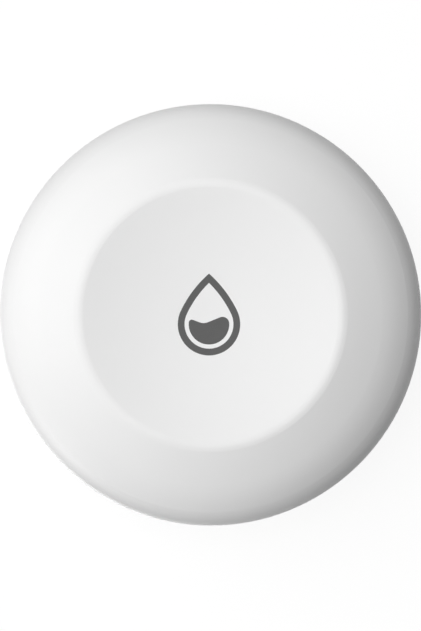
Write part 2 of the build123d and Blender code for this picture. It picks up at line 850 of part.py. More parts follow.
def component_terminals():
    """Metal ends of the small parts, legs of the sense chip, and pads of the radio chip."""
    shapes = []
    offset = (passive_length - terminal_length) / 2
    small_parts = ((capacitor_place_shares, capacitor_height), (resistor_place_shares, resistor_height))
    for places, height in small_parts:
        end = block(terminal_length, passive_width, board_top_z, board_top_z + height)
        for x, y in map(on_board, places):
            shapes.append(Pos(x - offset, y) * end)
            shapes.append(Pos(x + offset, y) * end)
    leg = block(sense_leg_width, sense_leg_reach, board_top_z, board_top_z + sense_leg_thickness)
    leg_y = (sense_width + sense_leg_reach) / 2
    sense_x, sense_y = on_board(sense_place_shares)
    for row, steps in ((-1, (-1, 0, 1)), (1, (-1, 1))):
        for step in steps:
            shapes.append(Pos(sense_x + step * sense_leg_pitch, sense_y + row * leg_y) * leg)
    pad = block(chip_pad_width, chip_pad_length, board_top_z, board_top_z + chip_pad_height / 2)
    for index in range(chip_pads_a_side):
        along = (index - (chip_pads_a_side - 1) / 2) * chip_pad_pitch
        for quarter in range(4):
            side = Pos(along, (chip_side - chip_pad_length) / 2 + chip_pad_height) * pad
            shapes.append(Pos(*on_board(chip_place_shares)) * (Rot(0, 0, 90 * quarter) * side))
    return group(shapes)


def antenna_trace():
    """Flat copper strip that runs up and down at the edge of the board."""
    strips = None
    for index in range(antenna_turns):
        x = index * antenna_pitch
        upright = Pos(x, antenna_depth / 2) * Rectangle(antenna_strip, antenna_depth)
        strips = upright if strips is None else strips + upright
        if index < antenna_turns - 1:
            y = (antenna_depth if index % 2 == 0 else 0) + (-1 if index % 2 == 0 else 1) * antenna_strip / 2
            bridge = Pos(x + antenna_pitch / 2, y) * Rectangle(antenna_pitch + antenna_strip, antenna_strip)
            strips += bridge
    x, y = on_board(antenna_place_shares)
    return extrude(Pos(x, y, board_top_z) * strips, amount=antenna_thickness)


def battery_holder():
    """Ring under the board that keeps the cell in line, cut open for the side contact and a fingertip."""
    low_z = board_bottom_z - (board_bottom_z - cell_bottom_z) * holder_drop_share
    ring = tube(holder_outer_radius, holder_inner_radius, low_z, board_bottom_z)
    peg_middle = (holder_inner_radius + holder_outer_radius) / 2
    peg = Pos(peg_middle) * cylinder(holder_peg_radius, board_bottom_z - weld, board_top_z)
    for shape in round_about(peg, holder_peg_count, holder_peg_angle):
        ring += shape
    cut_low = low_z - overrun
    cut_high = board_bottom_z + overrun
    clip_window = Pos(-cell_radius) * block(cell_radius, window_width, cut_low, cut_high)
    finger_high = board_bottom_z - contact_gap
    finger_window = Pos(cell_radius) * block(cell_radius, finger_window_width, cut_low, finger_high)
    return ring - clip_window - finger_window


def positive_clip():
    """Side contact: a strip down beside the cell with a foot soldered under the board."""
    inner_x = cell_radius + contact_play
    low_z = cell_bottom_z + can_edge_radius
    arm = Pos(-inner_x - clip_thickness / 2) * block(clip_thickness, clip_width, low_z, board_bottom_z)
    sole = Pos(-inner_x - clip_reach / 2) * block(
        clip_reach, clip_width, board_bottom_z - clip_thickness, board_bottom_z
    )
    return arm + sole


def negative_spring():
    """Bent leaf under the board that presses on the middle of the cell."""
    fall = contact_gap - spring_thickness - contact_play
    upper = []
    for along, drop in zip(spring_length_shares, spring_drop_shares):
        upper.append((spring_start - along * spring_length, board_bottom_z - drop * fall))
    lower = [(x, z - spring_thickness) for x, z in reversed(upper)]
    outline = Polyline(*[(x, 0, z) for x, z in upper + lower], close=True)
    leaf = extrude(make_face(outline), amount=spring_width / 2, both=True)
    return leaf


def cell_can():
    """Positive can of the coin cell, crimped in over the gasket at the top."""
    can = turned(
        (
            (0, cell_bottom_z),
            (cell_radius, cell_bottom_z),
            (cell_radius, cell_rim_z),
            (cell_radius - can_lip, cell_rim_z),
            (cell_radius - can_lip, cell_rim_z - can_wall),
            (cell_radius - can_wall, cell_rim_z - can_wall),
            (cell_radius - can_wall, cell_bottom_z + can_wall),
            (0, cell_bottom_z + can_wall),
        )
    )
    can = fillet(ring_edges(can, cell_radius, cell_bottom_z), can_edge_radius)
    return fillet(ring_edges(can, cell_radius, cell_rim_z), can_wall - contact_play)


def cell_gasket():
    """Ring that keeps the two halves of the cell apart."""
    return turned(
        (
            (cell_cap_radius, gasket_low_z),
            (cell_radius - can_wall, gasket_low_z),
            (cell_radius - can_wall, cell_rim_z - can_wall),
            (cell_radius - can_lip, cell_rim_z - can_wall),
            (cell_radius - can_lip, cell_rim_z),
            (cell_cap_radius, cell_rim_z),
        )
    )


def cell_cap():
    """Negative cap of the coin cell, an upturned cup inside the gasket."""
    inner_radius = cell_cap_radius - can_wall
    return turned(
        (
            (0, cell_top_z),
            (cell_cap_radius - cell_cap_bevel, cell_top_z),
            (cell_cap_radius, cell_top_z - cell_cap_bevel),
            (cell_cap_radius, gasket_low_z),
            (inner_radius, gasket_low_z),
            (inner_radius, cell_top_z - cell_cap_bevel - can_wall),
            (inner_radius - cell_cap_bevel, cell_top_z - can_wall),
            (0, cell_top_z - can_wall),
        )
    )


def pellet(low, high, room):
    """A disc of the cell's filling, a little smaller than the room it lies in."""
    return cylinder(room - pellet_inset, low, high)


def cell_cathode():
    """Pressed powder disc on the floor of the can."""
    return pellet(cell_bottom_z + can_wall, gasket_low_z - pellet_gap, cell_radius - can_wall)


def cell_anode():
    """Soft metal disc under the cap of the cell."""
    radius = cell_cap_radius - can_wall - cell_cap_bevel
    return pellet(gasket_low_z + pellet_gap, cell_top_z - can_wall, radius)


pieces = {
    "top_cover": top_cover,
    "drop_outline": drop_outline,
    "drop_level": drop_level,
    "inner_shell": inner_shell,
    "press_membrane": press_membrane,
    "light_guide": light_guide,
    "shell_seal": shell_seal,
    "base": base,
    "battery_door": battery_door,
    "door_seal": door_seal,
    "probe_left": probe_left,
    "probe_right": probe_right,
    "probe_seals": probe_seals,
    "probe_nuts": probe_nuts,
    "circuit_board": circuit_board,
    "board_screws": board_screws,
    "switch_body": switch_body,
    "switch_cover": switch_cover,
    "switch_plunger": switch_plunger,
    "switch_dome": switch_dome,
    "radio_chip": radio_chip,
    "crystal": crystal,
    "sense_chip": sense_chip,
    "status_led": status_led,
    "chip_capacitors": chip_capacitors,
    "chip_resistors": chip_resistors,
    "component_terminals": component_terminals,
    "antenna_trace": antenna_trace,
    "battery_holder": battery_holder,
    "positive_clip": positive_clip,
    "negative_spring": negative_spring,
    "cell_can": cell_can,
    "cell_gasket": cell_gasket,
    "cell_cap": cell_cap,
    "cell_cathode": cell_cathode,
    "cell_anode": cell_anode,
}

os.makedirs("parts", exist_ok=True)
for name, make in pieces.items():
    export_step(make(), f"parts/{name}.step")
print("overall", round(2 * body_radius, 3), "x", round(body_height, 3), "mm")
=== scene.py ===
"""Finishes, small surface details, light and camera for the round water leak sensor.

Metres, +Z up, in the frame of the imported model: the sensor stands on the floor at the origin.
"""

import functools
import math

import bmesh
import bpy
from mathutils import Matrix, Vector


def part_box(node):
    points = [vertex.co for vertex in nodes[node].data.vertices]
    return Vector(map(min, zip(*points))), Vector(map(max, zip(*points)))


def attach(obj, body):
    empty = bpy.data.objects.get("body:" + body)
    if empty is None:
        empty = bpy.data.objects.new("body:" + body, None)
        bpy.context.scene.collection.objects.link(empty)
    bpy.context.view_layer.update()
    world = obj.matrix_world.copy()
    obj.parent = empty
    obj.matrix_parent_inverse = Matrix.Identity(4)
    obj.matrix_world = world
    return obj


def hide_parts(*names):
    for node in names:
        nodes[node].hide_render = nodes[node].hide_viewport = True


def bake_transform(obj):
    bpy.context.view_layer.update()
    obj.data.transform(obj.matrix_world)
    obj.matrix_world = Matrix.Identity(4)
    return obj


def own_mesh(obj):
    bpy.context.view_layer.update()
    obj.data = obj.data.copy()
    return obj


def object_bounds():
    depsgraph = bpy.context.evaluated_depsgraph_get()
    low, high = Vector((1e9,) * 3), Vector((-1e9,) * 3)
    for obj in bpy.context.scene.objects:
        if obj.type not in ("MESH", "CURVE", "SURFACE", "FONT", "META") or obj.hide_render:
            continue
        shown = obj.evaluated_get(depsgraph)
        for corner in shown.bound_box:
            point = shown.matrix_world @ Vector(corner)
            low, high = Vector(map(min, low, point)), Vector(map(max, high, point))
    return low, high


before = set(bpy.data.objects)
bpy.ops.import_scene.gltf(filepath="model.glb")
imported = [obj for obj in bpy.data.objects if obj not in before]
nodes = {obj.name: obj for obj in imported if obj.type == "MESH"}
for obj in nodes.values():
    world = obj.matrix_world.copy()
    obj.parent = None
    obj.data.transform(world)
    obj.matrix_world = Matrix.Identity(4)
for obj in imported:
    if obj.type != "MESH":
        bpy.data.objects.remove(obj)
cad_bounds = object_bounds()

mm = 0.001
micron = 0.000001
axis = (0, 0)

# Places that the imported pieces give
outer_radius = cad_bounds[1].x
base_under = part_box("battery_door")[0].z
can_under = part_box("cell_can")[0].z
board_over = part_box("circuit_board")[1].z
roof_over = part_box("inner_shell")[1].z
widest_height = max(nodes["top_cover"].data.vertices, key=lambda vertex: vertex.co.xy.length).co.z

# The probes, their nuts and the board's screws lie on one circle
hole_circle = sum(corner.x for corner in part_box("probe_right")) / 2


# Shader values and nodes


class Link:
    """A socket whose value changes over the surface, and that takes part in sums."""

    def __init__(self, finish, socket):
        self.finish = finish
        self.socket = socket

    def maths(self, operation, *values):
        """A sum of the given kind, with links or plain numbers as its values."""
        return self.finish.node("ShaderNodeMath", {"operation": operation}, dict(enumerate(values)))

    def __add__(self, other):
        return self.maths("ADD", self, other)

    def __sub__(self, other):
        return self.maths("SUBTRACT", self, other)

    def __rsub__(self, other):
        return self.maths("SUBTRACT", other, self)

    def __mul__(self, other):
        return self.maths("MULTIPLY", self, other)

    def __truediv__(self, other):
        return self.maths("DIVIDE", self, other)

    def __pow__(self, other):
        return self.maths("POWER", self, other)

    __radd__ = __add__
    __rmul__ = __mul__

    def most(self, other):
        """The larger of two values."""
        return self.maths("MAXIMUM", self, other)

    def size(self):
        """The value without its sign."""
        return self.maths("ABSOLUTE", self)

    def step(self, low, high):
        """From 0 at the low value to 1 at the high one, smoothly, and level outside them."""
        smooth = {"interpolation_type": "SMOOTHSTEP"}
        values = {"Value": self, "From Min": low, "From Max": high}
        return self.finish.node("ShaderNodeMapRange", smooth, values)


class Finish:
    """One material, or the world, with the nodes that make its colour, gloss and relief."""

    def __init__(self, name, kind=bpy.data.materials):
        self.owner = kind.new(name)
        self.owner.use_nodes = True
        self.tree = self.owner.node_tree
        self.tree.nodes.clear()

    def node(self, kind, settings=None, values=None, output=0):
        """A node of a type, with its settings made first, then the values or links of its sockets."""
        made = self.tree.nodes.new(kind)
        for name, value in (settings or {}).items():
            setattr(made, name, value)
        for name, value in (values or {}).items():
            if isinstance(value, Link):
                self.tree.links.new(value.socket, made.inputs[name])
            else:
                made.inputs[name].default_value = value
        return Link(self, made.outputs[output]) if made.outputs else None

    def place(self):
        """The place on the piece, in metres, which moves with the piece."""
        return self.node("ShaderNodeTexCoord", output="Object")

    def facing(self):
        """The direction that the surface faces, which moves with the piece."""
        return self.node("ShaderNodeTexCoord", output="Normal")

    def parts(self, vector):
        """The three numbers of a vector."""
        split = self.node("ShaderNodeSeparateXYZ", values={"Vector": vector}).socket.node
        return [Link(self, socket) for socket in split.outputs]

    def scaled(self, amounts):
        """The place on the piece with each of its three numbers times an amount."""
        return self.node("ShaderNodeVectorMath", {"operation": "MULTIPLY"}, {0: self.place(), 1: amounts})

    def clouds(self, vector, scale, detail):
        """Soft random values from 0 to 1 over a vector."""
        return self.node("ShaderNodeTexNoise", values={"Vector": vector, "Scale": scale, "Detail": detail})

    def noise(self, grain, detail=2):
        """Random blotches of about the given size, from 0 to 1."""
        return self.clouds(self.place(), 1 / grain, detail)

    def streaks(self, grain, lengths, detail=2):
        """Random marks that are longer than the grain by a number of times along each axis."""
        return self.clouds(self.scaled([1 / (grain * length) for length in lengths]), 1, detail)

    def cells(self, grain, feature="F1"):
        """Distance to the nearest of many random points about the given size apart."""
        values = {"Vector": self.place(), "Scale": 1 / grain}
        return self.node("ShaderNodeTexVoronoi", {"feature": feature}, values)

    def away(self, centre, both_sides=False):
        """Distance from an upright line, or from the nearer of two lines at mirrored places."""
        x, y, _ = self.parts(self.place())
        if both_sides:
            x = x.size()
            y = y.size()
        return ((x - centre[0]) ** 2 + (y - centre[1]) ** 2) ** 0.5

    def turned(self, distance, pitch, detail=2):
        """Random rings round an upright line, as a lathe tool leaves them."""
        return self.clouds(self.node("ShaderNodeCombineXYZ", values={"X": distance}), 1 / pitch, detail)

    def outward(self, name):
        """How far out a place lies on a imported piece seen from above: 0 at its middle and 1 at its sides."""
        x, y, _ = self.parts(self.place())
        low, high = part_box(name)
        middle = (low + high) / 2
        reach = (high - low) / 2
        return ((x - middle.x) / reach.x).size().most(((y - middle.y) / reach.y).size())

    def mix(self, first, second, share):
        """A colour between two colours."""
        values = {"Factor": share, 6: first, 7: second}
        return self.node("ShaderNodeMix", {"data_type": "RGBA"}, values, output=2)

    def relief(self, *layers):
        """Bumps on top of each other, each a height from 0 to 1 and the depth that it stands for."""
        normal = None
        for height, depth in layers:
            values = {"Height": height, "Distance": depth}
            if normal is not None:
                values["Normal"] = normal
            normal = self.node("ShaderNodeBump", values=values)
        return normal

    def surface(self, **values):
        """The shader of the material, by its socket names with underscores for spaces."""
        named = {name.replace("_", " "): value for name, value in values.items()}
        return self.shown(self.node("ShaderNodeBsdfPrincipled", values=named))

    def shown(self, shader):
        """The material, with a shader as its surface."""
        self.node("ShaderNodeOutputMaterial", values={"Surface": shader})
        return self.owner


def colour(red, green=None, blue=None):
    """A colour in linear light, or a grey if only one value is given."""
    if green is None:
        return (red, red, red, 1)
    return (red, green, blue, 1)


# Plastics


def cap_plastic():
    """Satin white cap: a fine, even grain, the wall's slight unevenness, and next to no change of tone."""
    finish = Finish("cap_plastic")
    grain = finish.noise(0.11 * mm, detail=1)
    fine = finish.noise(0.045 * mm, detail=1)
    flow = finish.noise(7 * mm, detail=3)
    return finish.surface(
        Base_Color=finish.mix(colour(0.862, 0.862, 0.862), colour(0.878, 0.878, 0.876), flow),
        Roughness=0.37 + grain * 0.05 + flow * 0.03,
        Normal=finish.relief((flow, 6 * micron), (grain, 1.6 * micron), (fine, 0.7 * micron)),
    )


def mark_grey():
    """Matt grey second shot of the drop mark, with the pigment's fine specks."""
    finish = Finish("mark_grey")
    grain = finish.noise(0.09 * mm, detail=2)
    specks = finish.cells(0.2 * mm).step(0.34, 0.1)
    mottle = finish.noise(1.4 * mm, detail=3)
    ground = finish.mix(colour(0.112, 0.112, 0.112), colour(0.124, 0.124, 0.123), mottle)
    return finish.surface(
        Base_Color=finish.mix(ground, colour(0.15), specks * 0.3),
        Roughness=0.6 + grain * 0.12,
        Normal=finish.relief((grain, 2.2 * micron)),
        Specular_IOR_Level=0.2,
    )


def spark_grain(name, light, dark, roughness, grain_size, depth):
    """White plastic from a spark eroded mould: close round pits of about one size under a finer grain."""
    finish = Finish(name)
    pits = finish.cells(grain_size, "SMOOTH_F1")
    grain = finish.noise(grain_size * 0.45, detail=2)
    flow = finish.noise(5 * mm, detail=4)
    ground = finish.mix(dark, light, flow)
    return finish.surface(
        Base_Color=finish.mix(ground, dark, pits * 0.3),
        Roughness=roughness + pits * 0.1 + flow * 0.04,
        Normal=finish.relief((flow, 5 * micron), (pits, depth), (grain, depth * 0.35)),
    )


def base_plastic():
    """The base and its signs: the coarser grain of the two."""
    light = colour(0.83, 0.83, 0.825)
    dark = colour(0.77, 0.77, 0.765)
    return spark_grain("base_plastic", light, dark, 0.44, 0.22 * mm, 9 * micron)


def door_plastic():
    """The door: a finer grain, polished a little by fingers."""
    light = colour(0.84, 0.84, 0.838)
    dark = colour(0.79, 0.79, 0.786)
    return spark_grain("door_plastic", light, dark, 0.38, 0.15 * mm, 6 * micron)


def shell_plastic():
    """Unpainted inner shell: a polished mould's gloss, flow lines from the gate and a warmer white."""
    finish = Finish("shell_plastic")
    flow = finish.turned(finish.away((6 * mm, 3 * mm)) + finish.noise(4 * mm) * (3 * mm), 1.6 * mm, detail=3)
    grain = finish.noise(0.3 * mm)
    return finish.surface(
        Base_Color=finish.mix(colour(0.71, 0.715, 0.69), colour(0.79, 0.79, 0.77), flow),
        Roughness=0.24 + flow * 0.08 + grain * 0.04,
        Normal=finish.relief((flow, 4 * micron), (grain, 1.2 * micron)),
    )


def filled_plastic(name, ground, fibre, roughness):
    """Heat proof plastic with short glass fibres that show as fine pale streaks."""
    finish = Finish(name)
    along = finish.streaks(0.05 * mm, (9, 1, 1)).step(0.56, 0.72)
    across = finish.streaks(0.05 * mm, (1, 9, 1)).step(0.58, 0.74)
    grain = finish.noise(0.16 * mm, detail=3)
    return finish.surface(
        Base_Color=finish.mix(ground, fibre, along.most(across) * 0.55),
        Roughness=roughness + grain * 0.14,
        Normal=finish.relief((grain, 3 * micron), (along, 1 * micron)),
    )


def switch_plastic():
    return filled_plastic("switch_plastic", colour(0.022, 0.022, 0.023), colour(0.07), 0.46)


def holder_plastic():
    return filled_plastic("holder_plastic", colour(0.028, 0.029, 0.031), colour(0.085), 0.4)


def plunger_plastic():
    """Milky plunger of the switch, a little darker where the post rubs it."""
    finish = Finish("plunger_plastic")
    rubbed = finish.away(axis).step(1.2 * mm, 0.5 * mm) * finish.noise(0.25 * mm, detail=3)
    grain = finish.noise(0.12 * mm)
    return finish.surface(
        Base_Color=finish.mix(colour(0.72, 0.7, 0.65), colour(0.58, 0.56, 0.52), rubbed),
        Roughness=0.42 + grain * 0.1 - rubbed * 0.12,
        Normal=finish.relief((grain, 1.8 * micron)),
    )


def clear_plastic():
    """Light guide: polished sides with faint drag lines and a frosted end."""
    finish = Finish("clear_plastic")
    drag = finish.streaks(0.08 * mm, (1, 1, 40))
    frost = finish.noise(0.05 * mm, detail=2)
    end = finish.parts(finish.facing())[2].size().step(0.7, 0.9)
    return finish.surface(
        Base_Color=finish.mix(colour(0.93, 0.95, 0.96), colour(0.97, 0.98, 0.98), drag),
        Roughness=0.06 + end * 0.3 + drag * 0.04,
        Normal=finish.relief((drag, 1 * micron), (frost, 0.8 * micron)),
        Transmission_Weight=0.92,
        IOR=1.49,
    )


def cell_gasket():
    """Natural nylon ring of the coin cell, damp looking from its sealant."""
    finish = Finish("cell_gasket")
    sealant = finish.noise(0.7 * mm, detail=4)
    grain = finish.noise(0.08 * mm)
    return finish.surface(
        Base_Color=finish.mix(colour(0.35, 0.33, 0.29), colour(0.5, 0.48, 0.43), sealant),
        Roughness=0.26 + sealant * 0.25,
        Normal=finish.relief((sealant, 5 * micron), (grain, 1 * micron)),
    )


# Rubbers and resins


def silicone():
    """Milky silicone membrane with the dull bloom and dust that it picks up."""
    finish = Finish("silicone")
    bloom = finish.noise(1.8 * mm, detail=4)
    dust = finish.cells(0.5 * mm).step(0.12, 0.03)
    grain = finish.noise(0.1 * mm, detail=2)
    milky = finish.mix(colour(0.5, 0.51, 0.52), colour(0.6, 0.61, 0.61), bloom)
    return finish.surface(
        Base_Color=finish.mix(milky, colour(0.74), dust * 0.6),
        Roughness=0.52 + bloom * 0.16,
        Normal=finish.relief((grain, 2.5 * micron)),
        Subsurface_Weight=0.15,
        Subsurface_Scale=0.4 * mm,
    )


def seal_rubber():
    """Dark moulded rubber: a soft sheen of grease in patches over a fine matt grain."""
    finish = Finish("seal_rubber")
    grease = finish.noise(1.1 * mm, detail=3).step(0.4, 0.68)
    grain = finish.noise(0.07 * mm, detail=3)
    return finish.surface(
        Base_Color=finish.mix(colour(0.03, 0.03, 0.031), colour(0.018), grease),
        Roughness=0.7 - grease * 0.3 + grain * 0.06,
        Normal=finish.relief((grain, 4 * micron)),
    )


def lamp_resin():
    """Status light: yellow phosphor in clear resin inside a white frame."""
    finish = Finish("lamp_resin")
    window = finish.outward("status_led").step(0.78, 0.66)
    grain = finish.noise(0.05 * mm, detail=3)
    phosphor = finish.mix(colour(0.78, 0.62, 0.12), colour(0.86, 0.74, 0.25), grain)
    return finish.surface(
        Base_Color=finish.mix(colour(0.82, 0.82, 0.8), phosphor, window),
        Roughness=0.4 - window * 0.26,
        Normal=finish.relief((grain, 1.5 * micron), (window, -30 * micron)),
    )


def chip_black():
    """Mould compound of the chips: a matt blasted top with pale filler specks."""
    finish = Finish("chip_black")
    specks = finish.cells(0.11 * mm).step(0.22, 0.06)
    blast = finish.noise(0.06 * mm, detail=3)
    cloud = finish.noise(1.5 * mm, detail=3)
    ground = finish.mix(colour(0.021, 0.021, 0.022), colour(0.034, 0.034, 0.036), cloud)
    return finish.surface(
        Base_Color=finish.mix(ground, colour(0.085), specks * 0.5),
        Roughness=0.56 + blast * 0.16,
        Normal=finish.relief((blast, 4 * micron)),
    )


# Metals


def sheet_metal(name, light, dark, roughness, lengths):
    """Rolled strip or sheet with fine lines along its rolling direction and a few handling marks."""
    finish = Finish(name)
    lines = finish.streaks(0.025 * mm, lengths, detail=3)
    handling = finish.noise(0.9 * mm, detail=4)
    scratch = finish.streaks(0.02 * mm, [length * 3 for length in lengths]).step(0.66, 0.74)
    return finish.surface(
        Base_Color=finish.mix(dark, light, lines * 0.6 + handling * 0.4),
        Metallic=1.0,
        Roughness=roughness + lines * 0.12 + handling * 0.1,
        Normal=finish.relief((lines, 0.7 * micron), (scratch, -0.8 * micron)),
    )


def contact_metal():
    return sheet_metal("contact_metal", colour(0.72, 0.69, 0.62), colour(0.6, 0.57, 0.5), 0.2, (60, 1, 60))


def switch_metal():
    return sheet_metal("switch_metal", colour(0.7, 0.7, 0.69), colour(0.58, 0.58, 0.57), 0.22, (1, 60, 60))


def crystal_metal():
    """Nickel plated lid of the crystal, with the weld's heat tint round its edge."""
    finish = Finish("crystal_metal")
    weld = finish.outward("crystal").step(0.8, 0.93)
    beads = finish.noise(0.12 * mm, detail=2)
    lines = finish.streaks(0.03 * mm, (50, 1, 1))
    plate = finish.mix(colour(0.62, 0.6, 0.55), colour(0.72, 0.7, 0.65), lines)
    return finish.surface(
        Base_Color=finish.mix(plate, colour(0.45, 0.4, 0.33), weld * 0.5),
        Metallic=1.0,
        Roughness=0.24 + weld * 0.18 + lines * 0.08,
        Normal=finish.relief((lines, 0.6 * micron), (beads * weld, 6 * micron)),
    )


def turned_metal(name, light, dark, roughness, centre, both_sides, pitch, depth):
    """Metal from a lathe: fine rings round its own axis, a little tarnish between them, and dull spots."""
    finish = Finish(name)
    distance = finish.away(centre, both_sides)
    _, _, height = finish.parts(finish.place())
    rings = finish.turned(distance + height, pitch, detail=3)
    tarnish = finish.noise(0.8 * mm, detail=4)
    spots = finish.cells(0.6 * mm).step(0.16, 0.05)
    return finish.surface(
        Base_Color=finish.mix(light, dark, tarnish * 0.5 + rings * 0.3),
        Metallic=1.0,
        Roughness=roughness + rings * 0.1 + tarnish * 0.08 + spots * 0.1,
        Normal=finish.relief((rings, depth)),
    )


def probe_metal():
    light = colour(0.8, 0.56, 0.24)
    dark = colour(0.56, 0.35, 0.12)
    return turned_metal("probe_metal", light, dark, 0.2, (hole_circle, 0), True, 0.3 * mm, 5 * micron)


def nut_metal():
    light = colour(0.72, 0.69, 0.62)
    dark = colour(0.55, 0.52, 0.45)
    return turned_metal("nut_metal", light, dark, 0.24, (hole_circle, 0), True, 0.1 * mm, 2 * micron)


def screw_steel():
    light = colour(0.66, 0.67, 0.68)
    dark = colour(0.5, 0.5, 0.47)
    return turned_metal("screw_steel", light, dark, 0.26, (0, hole_circle), True, 0.12 * mm, 1.5 * micron)


def cell_steel():
    light = colour(0.68, 0.68, 0.66)
    dark = colour(0.56, 0.56, 0.54)
    return turned_metal("cell_steel", light, dark, 0.2, axis, False, 0.06 * mm, 0.8 * micron)


def trace_copper():
    """Etched copper with a thin gold wash: a faintly ragged, dull surface."""
    finish = Finish("trace_copper")
    etch = finish.noise(0.06 * mm, detail=3)
    tint = finish.noise(1.2 * mm, detail=3)
    return finish.surface(
        Base_Color=finish.mix(colour(0.86, 0.6, 0.3), colour(0.75, 0.47, 0.25), tint),
        Metallic=1.0,
        Roughness=0.3 + etch * 0.14,
        Normal=finish.relief((etch, 2 * micron)),
    )


def solder_tin():
    """Reflowed solder: bright, softly rippled, with grey frosted patches."""
    finish = Finish("solder_tin")
    ripple = finish.noise(0.18 * mm, detail=2)
    frost = finish.noise(0.35 * mm, detail=4).step(0.45, 0.65)
    return finish.surface(
        Base_Color=finish.mix(colour(0.74, 0.74, 0.73), colour(0.56, 0.56, 0.56), frost),
        Metallic=1.0,
        Roughness=0.16 + frost * 0.26,
        Normal=finish.relief((ripple, 6 * micron)),
    )


def anode_metal():
    """Soft grey lithium, pressed flat and dulled in clouds by its oxide."""
    finish = Finish("anode_metal")
    cloud = finish.noise(1.6 * mm, detail=5)
    press = finish.noise(0.3 * mm, detail=2)
    return finish.surface(
        Base_Color=finish.mix(colour(0.5, 0.5, 0.51), colour(0.33, 0.33, 0.35), cloud),
        Metallic=0.9,
        Roughness=0.44 + cloud * 0.24,
        Normal=finish.relief((press, 5 * micron)),
    )


# Ceramics, powders and board


def capacitor_ceramic():
    """Fired brown ceramic, with a tone that changes a little from one small block to the next."""
    finish = Finish("capacitor_ceramic")
    grain = finish.noise(0.05 * mm, detail=3)
    batch = finish.noise(1.7 * mm, detail=0)
    return finish.surface(
        Base_Color=finish.mix(colour(0.36, 0.22, 0.12), colour(0.5, 0.36, 0.24), batch),
        Roughness=0.34 + grain * 0.14,
        Normal=finish.relief((grain, 1.6 * micron)),
    )


def resistor_glaze():
    """Dark glaze on top of a white ceramic body."""
    finish = Finish("resistor_glaze")
    upward = finish.parts(finish.facing())[2].step(0.5, 0.8)
    grain = finish.noise(0.08 * mm, detail=2)
    glaze = finish.mix(colour(0.016), colour(0.028, 0.028, 0.032), grain)
    return finish.surface(
        Base_Color=finish.mix(colour(0.7, 0.69, 0.66), glaze, upward),
        Roughness=0.5 - upward * 0.24 + grain * 0.06,
        Normal=finish.relief((grain, 2 * micron)),
    )


def cathode_powder():
    """Pressed manganese powder: dark, matt, with grains that glint."""
    finish = Finish("cathode_powder")
    grain = finish.noise(0.06 * mm, detail=4)
    glint = finish.cells(0.09 * mm).step(0.14, 0.04)
    crust = finish.noise(0.5 * mm, detail=4)
    return finish.surface(
        Base_Color=finish.mix(colour(0.018), colour(0.045, 0.044, 0.046), crust + glint * 0.4),
        Roughness=0.85 - glint * 0.4,
        Normal=finish.relief((crust, 22 * micron), (grain, 9 * micron)),
    )


printed_line = 0.14 * mm
printed_margins = {
    "radio_chip": 0.45 * mm,
    "crystal": 0.3 * mm,
    "sense_chip": 0.75 * mm,
    "switch_body": 0.3 * mm,
    "status_led": 0.3 * mm,
    "antenna_trace": 0.5 * mm,
}


def printed_frame(finish, name, margin):
    """White at the printed frame round a part on the board, from 0 to 1."""
    x, y, _ = finish.parts(finish.place())
    low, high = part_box(name)
    middle = (low + high) / 2
    reach = (high - low) / 2
    beyond = ((x - middle.x).size() - reach.x).most((y - middle.y).size() - reach.y)
    return (beyond - margin).size().step(printed_line * 0.6, printed_line * 0.4)


def board_laminate():
    """Green solder mask with white printed frames round the parts, and bare woven glass at the edge."""
    finish = Finish("board_laminate")
    grain = finish.noise(0.1 * mm, detail=3)
    cloud = finish.noise(3 * mm, detail=3)
    weave = finish.streaks(0.09 * mm, (6, 6, 1), detail=1)
    height = finish.parts(finish.facing())[2]
    upright = height.size().step(0.6, 0.3)
    frames = [printed_frame(finish, name, margin) for name, margin in printed_margins.items()]
    printed = functools.reduce(Link.most, frames) * height.step(0.6, 0.8)
    mask = finish.mix(colour(0.008, 0.1, 0.042), colour(0.011, 0.125, 0.052), cloud)
    edge = finish.mix(colour(0.42, 0.38, 0.2), colour(0.56, 0.52, 0.33), weave)
    plain = finish.mix(mask, colour(0.72, 0.72, 0.7), printed)
    return finish.surface(
        Base_Color=finish.mix(plain, edge, upright),
        Roughness=0.22 + upright * 0.45 + printed * 0.3 + grain * 0.06,
        Normal=finish.relief((weave, 2 * micron), (printed, 12 * micron), (grain, 1.5 * micron)),
    )


def masked_copper():
    """Solder mask over a copper track: brighter and smoother than over the bare laminate."""
    finish = Finish("masked_copper")
    grain = finish.noise(0.12 * mm, detail=3)
    cloud = finish.noise(2 * mm, detail=2)
    return finish.surface(
        Base_Color=finish.mix(colour(0.03, 0.2, 0.08), colour(0.042, 0.25, 0.105), cloud),
        Roughness=0.18 + grain * 0.08,
        Normal=finish.relief((grain, 2 * micron)),
    )


finish_makers = (
    cap_plastic,
    mark_grey,
    base_plastic,
    door_plastic,
    shell_plastic,
    switch_plastic,
    holder_plastic,
    plunger_plastic,
    clear_plastic,
    cell_gasket,
    silicone,
    seal_rubber,
    lamp_resin,
    chip_black,
    contact_metal,
    switch_metal,
    crystal_metal,
    probe_metal,
    nut_metal,
    screw_steel,
    cell_steel,
    trace_copper,
    solder_tin,
    anode_metal,
    capacitor_ceramic,
    resistor_glaze,
    cathode_powder,
    board_laminate,
)


def give_finishes():
    """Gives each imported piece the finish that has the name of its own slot."""
    finishes = {maker.__name__: maker() for maker in finish_makers}
    for node in nodes.values():
        for slot in node.material_slots:
            slot.material = finishes[slot.material.name]
    return finishes


# Raised signs under the base and the cell


def arc_points(centre, radius, start, end, count=16):
    """Points on an arc, with its angles in degrees."""
    turns = [math.radians(start + (end - start) * step / count) for step in range(count + 1)]
    return [(centre[0] + radius * math.cos(turn), centre[1] + radius * math.sin(turn)) for turn in turns]


